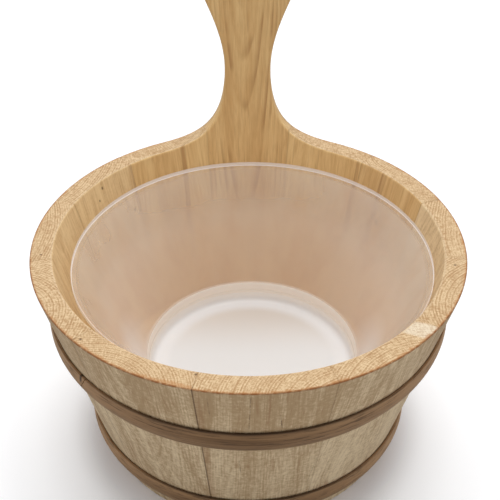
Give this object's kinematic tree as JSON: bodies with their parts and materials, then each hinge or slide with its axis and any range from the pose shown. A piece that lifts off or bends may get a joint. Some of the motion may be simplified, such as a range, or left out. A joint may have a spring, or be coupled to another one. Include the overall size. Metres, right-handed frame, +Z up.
{
  "type": "sauna bucket",
  "caption": "Coopered wooden sauna bucket with tapered staves, one rising into a flared handle, two wooden hoops, a plank bottom and a loose frosted plastic liner.",
  "frame": {"origin": "centre of the bounding box, on the plane that the staves' feet stand on; the bucket's own axis is 14.7 mm in front of it, because the handle leans back past the rim", "axes": "+Z up, +Y towards the handle at the back, +X to the right seen from the front"},
  "size_m": [0.2596, 0.289, 0.265],
  "materials": {
    "stave_wood": "pale, fine-grained hardwood, planed and left unvarnished, with end grain on the rim",
    "board_wood": "the same pale wood, planed and left unvarnished",
    "hoop_wood": "darker brown bent wood strip, grain along the hoop, satin",
    "liner_plastic": "frosted, translucent moulded polypropylene, satin"
  },
  "bodies": {
    "bucket": {"handle_stave": "stave_wood", "shoulder_stave_left": "stave_wood", "stave_01": "stave_wood", "stave_02": "stave_wood", "stave_03": "stave_wood", "stave_04": "stave_wood", "stave_05": "stave_wood", "stave_06": "stave_wood", "stave_07": "stave_wood", "stave_08": "stave_wood", "stave_09": "stave_wood", "shoulder_stave_right": "stave_wood", "bottom_plank_1": "board_wood", "bottom_plank_2": "board_wood", "bottom_plank_3": "board_wood", "upper_hoop": "hoop_wood", "lower_hoop": "hoop_wood"},
    "liner": {"liner": "liner_plastic"}
  },
  "joints": [
    {"name": "liner_lift", "type": "slide", "parent": "bucket", "child": "liner", "axis": [0, 0, 1], "range_m": [0, 0.115]}
  ]
}
